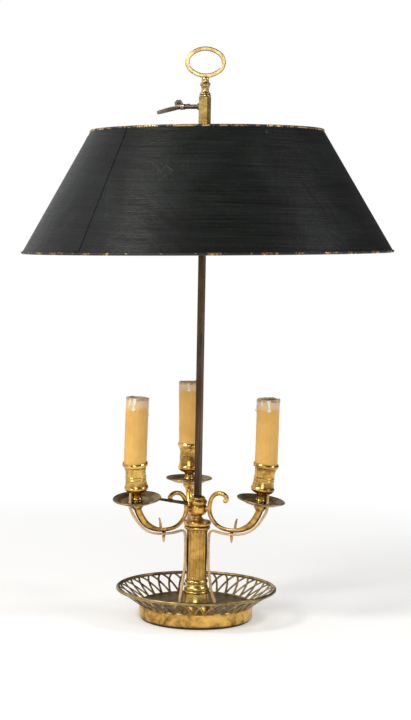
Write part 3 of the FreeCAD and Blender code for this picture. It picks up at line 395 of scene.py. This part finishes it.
def dress_all():
    dress(["shade_sheet", "shade_spider"], shade_paint())
    dress(["shade_top_bead"], worn_gilt("gilt_line_top", 0.48))
    dress(["shade_bottom_bead", "shade_rivets"], worn_gilt("gilt_line_bottom", 0.26))
    dress(["column_shaft"], aged_metal("gilt_column", *gilt, tarnish=0.35, recess_depth=0.003, turned=True,
                                       turns=150.0, lines=9.0, lining=0.0002))
    dress(["foot_dish"], aged_metal("gilt_foot", *gilt, tarnish=0.7, recess_depth=0.006, turned=True,
                                    dust=0.7))
    dress(each("arm") + ["arm_vase"], aged_metal("gilt_arms", *gilt, tarnish=0.6, recess_depth=0.005))
    dress(each("candle_cup"), aged_metal("gilt_cups", *cup_gilt, tarnish=0.55, recess_depth=0.005,
                                         gloss=(0.13, 0.26), lining=0.0003))
    dress(["bell_base"], aged_metal("brass_bell", *bell_brass, tarnish=0.2, turned=True, gloss=(0.14, 0.28),
                                    lining=0.0002))
    dress(["slider_sleeve", "spider_collar"],
          aged_metal("brass_slider", *brass, tarnish=0.45, gloss=(0.18, 0.36)))
    dress(["column_cap", "rod_collar"], aged_metal("brass_cap", *gilt, tarnish=0.6, turned=True))
    dress(["finial_baluster", "ring_handle"], aged_metal("brass_finial", *finial_brass, tarnish=0.25))
    dress(["pierced_gallery"], aged_metal("brass_gallery", *olive, tarnish=0.5, recess_depth=0.004))
    dress(["dish_rim"], aged_metal("brass_rim", *olive, tarnish=0.4, turned=True))
    dress(each("drip_pan"), aged_metal("bronze_pans", *brown, tarnish=0.5, recess_depth=0.006))
    dress(["square_rod"], iron("rod_iron", (0.15, 0.088, 0.045), (0.30, 0.20, 0.115), (0.03, 0.019, 0.012)))
    dress(["left_brace"], iron("brace_iron", (0.16, 0.11, 0.06), (0.28, 0.20, 0.11), (0.035, 0.026, 0.018)))
    dress(["thumbscrew_shaft", "screw_boss", "base_washer", "base_nut", "arm_studs", "clamp_shoe"],
          iron("screw_steel", (0.14, 0.11, 0.085), (0.30, 0.26, 0.21), (0.03, 0.024, 0.02)))
    dress(["thumbscrew_head"], aged_metal("bronze_thumbscrew", *screw_bronze, tarnish=0.5, gloss=(0.3, 0.5)))
    for name in arm_names:
        top = (candle_place(name) @ Vector((0, 0, tube_top))).z * mm
        dress([f"candle_tube_{name}"], candle_wax(f"candle_cream_{name}", top))
    dress(each("lampholder") + ["terminal_block", "cord_inlet_bush"],
          moulded("holder_brown", (0.022, 0.014, 0.009)))
    dress(each("screw_shell") + each("centre_contact") + each("holder_pipe")
          + ["cup_nuts", "terminal_screws", "lead_bushes"], aged_metal("plain_brass", *brass, tarnish=0.3))
    dress(["felt_ring"], moulded("felt_dark", (0.030, 0.022, 0.014), 2600.0))


def polar(radius, azimuth, height):
    """Point in millimetres at an azimuth round the lamp's axis."""
    angle = math.radians(azimuth)
    return Vector((radius * math.cos(angle), radius * math.sin(angle), height))


def arm_place(name):
    """Where an arm's own drawing lies, droop or rise included."""
    place = Matrix.Translation((0, 0, lug_level)) @ Matrix.Rotation(math.radians(arm_azimuth[name]), 4, "Z")
    droop = Matrix.Rotation(math.radians(arm_droop[name]), 4, "Y")
    return place @ Matrix.Translation(arm_pivot) @ droop @ Matrix.Translation(-arm_pivot)


def leaning(lean, azimuth):
    """Turn about the upright, then off the upright towards the lean's own azimuth."""
    angle, towards = lean
    tilt = Matrix.Rotation(math.radians(angle), 4, polar(1, towards + 90, 0))
    return tilt @ Matrix.Rotation(math.radians(azimuth), 4, "Z")


def seat_place(name):
    """Where the drip pan and cup sit on the arm, with their lean."""
    seat = arm_place(name) @ Vector((arm_reach, 0, pan_seat_rise))
    return Matrix.Translation(seat) @ leaning(cup_lean[name], arm_azimuth[name])


def candle_place(name):
    """Where the candle stands, turned off the cup's axis at the bend of its pipe."""
    meeting = seat_place(name) @ Vector((0, 0, bend_level))
    upright = Matrix.Translation(meeting) @ leaning(candle_lean[name], arm_azimuth[name])
    return upright @ Matrix.Translation((0, 0, -bend_level))


def piece(name, rings, material, body, closed=False):
    """Mesh through rings of points in millimetres, its ends filled unless the rings close on themselves."""
    mesh = bpy.data.meshes.new(name)
    work = bmesh.new()
    loops = [[work.verts.new(point * mm) for point in ring] for ring in rings]
    pairs = list(zip(loops, loops[1:])) + ([(loops[-1], loops[0])] if closed else [])
    for first, second in pairs:
        for index in range(len(first)):
            after = (index + 1) % len(first)
            work.faces.new((first[index], first[after], second[after], second[index]))
    if not closed:
        work.faces.new(loops[0][::-1])
        work.faces.new(loops[-1])
    bmesh.ops.recalc_face_normals(work, faces=work.faces)
    work.to_mesh(mesh)
    work.free()
    mesh.polygons.foreach_set("use_smooth", [True] * len(mesh.polygons))
    mesh.materials.append(material)
    thing = bpy.data.objects.new(name, mesh)
    scene.collection.objects.link(thing)
    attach(thing, body)
    return thing


def lead_azimuth(name):
    """Side of the column on which an arm's lead comes down."""
    return arm_azimuth[name] - arm_side[name] * lead_turn[name]


def lead_route(name):
    """Control points of a lead from its lampholder to the terminal block, as in the CAD model."""
    side = arm_side[name]
    azimuth = lead_azimuth(name)
    points = [candle_place(name) @ Vector((8.0, 0, holder_level))]
    points += [seat_place(name) @ Vector(point) for point in lead_cup_route]
    points += [arm_place(name) @ Vector((x, side * y, z)) for x, y, z in lead_arm_route]
    points += [polar(radius, azimuth, floor_level + height) for radius, height in lead_column_route]
    points.append(polar(lead_floor_radius[name], azimuth, lead_floor_level))
    points.append(polar(lead_floor_radius[name], azimuth, lead_run_level))
    points += [Vector((x, y, lead_run_level)) for x, y in lead_block_route[name]]
    points.append(Vector((points[-1].x, block_face, lead_run_level)))
    return points


def spline_points(points, resolution=8):
    """Points along a smooth line whose control points are the route's."""
    curve = bpy.data.curves.new("route", "CURVE")
    curve.dimensions = "3D"
    spline = curve.splines.new("NURBS")
    spline.points.add(len(points) - 1)
    for target, point in zip(spline.points, points):
        target.co = (*(point * mm), 1.0)
    spline.order_u = 3
    spline.use_endpoint_u = True
    spline.resolution_u = resolution
    holder = bpy.data.objects.new("route", curve)
    mesh = bpy.data.meshes.new_from_object(holder)
    line = [vertex.co / mm for vertex in mesh.vertices]
    bpy.data.objects.remove(holder)
    bpy.data.meshes.remove(mesh)
    return line


def flat_twin(name, material):
    """Two round strands side by side with a web, laid flat on the column and on the arm's underside."""
    line = spline_points(lead_route(name))
    across_arm = Matrix.Rotation(math.radians(arm_azimuth[name]), 3, "Z") @ Vector((0, 1, 0))
    across_column = Matrix.Rotation(math.radians(lead_azimuth(name)), 3, "Z") @ Vector((0, 1, 0))
    wide = across_arm.copy()
    rings = []
    for index, point in enumerate(line):
        before = line[max(0, index - 1)]
        after = line[min(len(line) - 1, index + 1)]
        along = (after - before).normalized()
        wanted = across_column if point.xy.length < lead_column_reach else across_arm
        wide = (wide - along * wide.dot(along)).normalized()
        flat = wanted - along * wanted.dot(along)
        if flat.length > 0.6 and point.z > lead_flat_from:
            flat.normalize()
            wide = wide.lerp(flat if flat.dot(wide) > 0 else -flat, lead_turn_rate).normalized()
        thick = along.cross(wide)
        upper = min(1.0, max(0.0, (lead_high_end - point.z) / lead_parting))
        lower = min(1.0, max(0.0, (point.z - lead_low_end) / lead_parting))
        spread = lead_end_spread + (lead_spread - lead_end_spread) * (upper * lower)
        ring = []
        for side in (1, -1):
            for step in range(9):
                angle = math.radians(-110 + 220 * step / 8) + (0 if side == 1 else math.pi)
                ring.append(point + wide * (side * spread + lead_strand * math.cos(angle))
                            + thick * lead_strand * math.sin(angle))
        rings.append(ring)
    twin = piece(f"flat_lead_{name}", rings, material, "lamp_stand")
    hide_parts(f"lead_{name}")


def wax_rim(name, seed, material):
    """Uneven lip of wax on the candle's mouth."""
    place = candle_place(name)
    rings = []
    for step in range(wax_rim_steps):
        angle = math.tau * step / wax_rim_steps
        ripple = noise.noise(Vector((math.cos(angle) * 1.6, math.sin(angle) * 1.6, seed)))
        swell = noise.noise(Vector((math.cos(angle) * 4.5, math.sin(angle) * 4.5, seed + 7)))
        outer = tube_radius + 0.22 + 0.35 * max(0.0, ripple + 0.2)
        top = tube_top + 0.5 + 0.9 * ripple + 0.35 * swell
        low = tube_top - 1.6 - 2.2 * max(0.0, ripple + 0.15)
        inner = 11.9 + 0.3 * swell
        profile = [(13.2, low), (outer - 0.12, low - 0.1), (outer, low + 0.5), (outer, top - 0.9),
                   (outer - 0.5, top - 0.1), ((outer + inner) / 2, top + 0.12), (inner + 0.35, top - 0.2),
                   (inner, top - 1.0), (inner + 0.2, tube_top - 2.6), (12.8, tube_top - 2.4)]
        rings.append([place @ Vector((r * math.cos(angle), r * math.sin(angle), z)) for r, z in profile])
    piece(f"wax_rim_{name}", rings, material, f"candle_sleeve_{name}", closed=True)


def wax_drip(name, index, turn, start, length, width, swell, material):
    """Run of wax that clings to the candle and ends in a drop."""
    place = candle_place(name)
    rings = []
    for step in range(wax_drip_steps + 1):
        share = step / wax_drip_steps
        drop = math.exp(-((share - wax_drop_share) / 0.10) ** 2)
        waist = 0.55 + 0.45 * (1 - share) ** 2 + 0.12 * math.sin(9 * share + index)
        close = math.sqrt(max(0.0, 1 - max(0.0, (share - wax_drop_share) / 0.14) ** 2))
        half = width * (waist + 0.55 * drop) * max(close, 0.05) / 2
        rise = (0.55 + swell * (0.3 + drop)) * max(close, 0.05)
        sway = 0.5 * math.sin(4 * share + turn)
        height = start - length * share
        ring = []
        for side in range(wax_drip_sides):
            angle = math.pi * side / (wax_drip_sides - 1)
            across = half * math.cos(angle) + sway
            reach = tube_radius - 0.25 + rise * math.sin(angle)
            direction = math.radians(turn) + across / tube_radius
            ring.append(place @ Vector((reach * math.cos(direction), reach * math.sin(direction), height)))
        rings.append(ring)
    piece(f"wax_drip_{name}_{index}", rings, material, f"candle_sleeve_{name}")


def build_pieces():
    amber = insulation()
    wax = pale_wax("wax_drips", (0.78, 0.64, 0.42), (0.90, 0.84, 0.70))
    lip = pale_wax("wax_lip", (0.33, 0.22, 0.13), (0.60, 0.46, 0.31))
    for name in arm_names:
        flat_twin(name, amber)
    for seed, name in enumerate(arm_names):
        wax_rim(name, 3.7 * seed + 1.3, lip)
        for index, (turn, drop, length, width, swell) in enumerate(wax_drips[name]):
            wax_drip(name, index, turn, tube_top - drop, length, width, swell, wax)


def build_camera():
    data = bpy.data.cameras.new("camera")
    data.lens = camera_lens
    data.sensor_width = 36.0
    data.clip_end = 50.0
    camera = bpy.data.objects.new("camera", data)
    turn = Matrix.Rotation(math.radians(90 - camera_pitch), 4, "X")
    roll = Matrix.Rotation(math.radians(camera_roll), 4, "Z")
    place = Matrix.Translation((camera_side, -camera_distance, camera_height))
    camera.matrix_world = place @ turn @ roll
    scene.collection.objects.link(camera)
    scene.camera = camera


def seen_rays(tree):
    """1 for rays from the camera, in reflections and through glass."""
    path = wire(tree, "ShaderNodeLightPath").outputs
    total = path["Is Camera Ray"]
    for name in ("Is Glossy Ray", "Is Transmission Ray"):
        total = wire(tree, "ShaderNodeMath", {0: total, 1: path[name]}, operation="MAXIMUM").outputs[0]
    return total


def build_world():
    """Soft even light and a white backdrop, which reflections see behind the lamp and to its left."""
    world = bpy.data.worlds.new("studio")
    world.use_nodes = True
    scene.world = world
    tree = world.node_tree
    tree.nodes.clear()
    path = wire(tree, "ShaderNodeLightPath")
    way = wire(tree, "ShaderNodeSeparateXYZ", {0: wire(tree, "ShaderNodeTexCoord").outputs["Generated"]})
    slope = wire(tree, "ShaderNodeMath", {0: way.outputs["X"], 1: -1.5, 2: way.outputs["Y"]},
                 operation="MULTIPLY_ADD")
    side = wire(tree, "ShaderNodeMapRange", {"Value": slope.outputs[0], "From Min": 0.55, "From Max": 1.5,
                                            "To Min": room_gloss, "To Max": backdrop_gloss})
    soft = wire(tree, "ShaderNodeBackground", {"Color": (1.0, 0.99, 0.97, 1), "Strength": soft_light})
    gloss = wire(tree, "ShaderNodeBackground", {"Color": (1, 1, 1, 1), "Strength": side.outputs["Result"]})
    white = wire(tree, "ShaderNodeBackground", {"Color": (1, 1, 1, 1), "Strength": 1.0})
    first = wire(tree, "ShaderNodeMixShader", {0: path.outputs["Is Glossy Ray"], 1: soft.outputs[0],
                                               2: gloss.outputs[0]})
    clear = wire(tree, "ShaderNodeMath",
                 {0: path.outputs["Is Camera Ray"], 1: path.outputs["Is Transmission Ray"]},
                 operation="MAXIMUM")
    last = wire(tree, "ShaderNodeMixShader", {0: clear.outputs[0], 1: first.outputs[0], 2: white.outputs[0]})
    wire(tree, "ShaderNodeOutputWorld", {"Surface": last.outputs[0]})


def build_floor():
    """Pale floor that keeps the lamp's shadow and runs out into the white backdrop."""
    mesh = bpy.data.meshes.new("floor")
    half = floor_half_width
    mesh.from_pydata([(-half, -half, 0), (half, -half, 0), (half, half, 0), (-half, half, 0)], [],
                     [(0, 1, 2, 3)])
    floor = bpy.data.objects.new("floor", mesh)
    floor.location.z = cad_box[0][2] - floor_drop
    scene.collection.objects.link(floor)
    material = bpy.data.materials.new("pale_floor")
    material.use_nodes = True
    tree = material.node_tree
    tree.nodes.clear()
    seen = seen_rays(tree)
    place = wire(tree, "ShaderNodeTexCoord").outputs["Object"]
    away = wire(tree, "ShaderNodeVectorMath", {0: place}, operation="LENGTH").outputs["Value"]
    fade = wire(tree, "ShaderNodeMapRange", {"Value": away, "From Min": floor_fade_start,
                                            "From Max": floor_fade_end})
    reach = wire(tree, "ShaderNodeMath", {0: fade.outputs["Result"], 1: seen}, operation="MULTIPLY")
    lift = wire(tree, "ShaderNodeMath", {0: seen, 1: floor_glow}, operation="MULTIPLY")
    surface = wire(tree, "ShaderNodeBsdfDiffuse", {"Color": (*floor_tone, 1)})
    glow = wire(tree, "ShaderNodeEmission", {"Strength": lift.outputs[0]})
    near = wire(tree, "ShaderNodeAddShader", {0: surface.outputs[0], 1: glow.outputs[0]})
    far = wire(tree, "ShaderNodeEmission", {"Strength": 1.0})
    both = wire(tree, "ShaderNodeMixShader", {0: reach.outputs[0], 1: near.outputs[0], 2: far.outputs[0]})
    wire(tree, "ShaderNodeOutputMaterial", {"Surface": both.outputs[0]})
    floor.data.materials.append(material)


def area_lamp(name, place, target, size, energy, colour):
    data = bpy.data.lights.new(name, "AREA")
    data.size = size
    data.energy = energy
    data.color = colour
    lamp = bpy.data.objects.new(name, data)
    lamp.location = place
    lamp.rotation_euler = (Vector(target) - Vector(place)).to_track_quat("-Z", "Y").to_euler()
    scene.collection.objects.link(lamp)


dress_all()
build_pieces()
build_camera()
build_world()
build_floor()
for lamp_name, lamp_values in lamps.items():
    area_lamp(lamp_name, *lamp_values)
scene.view_settings.view_transform = "Standard"
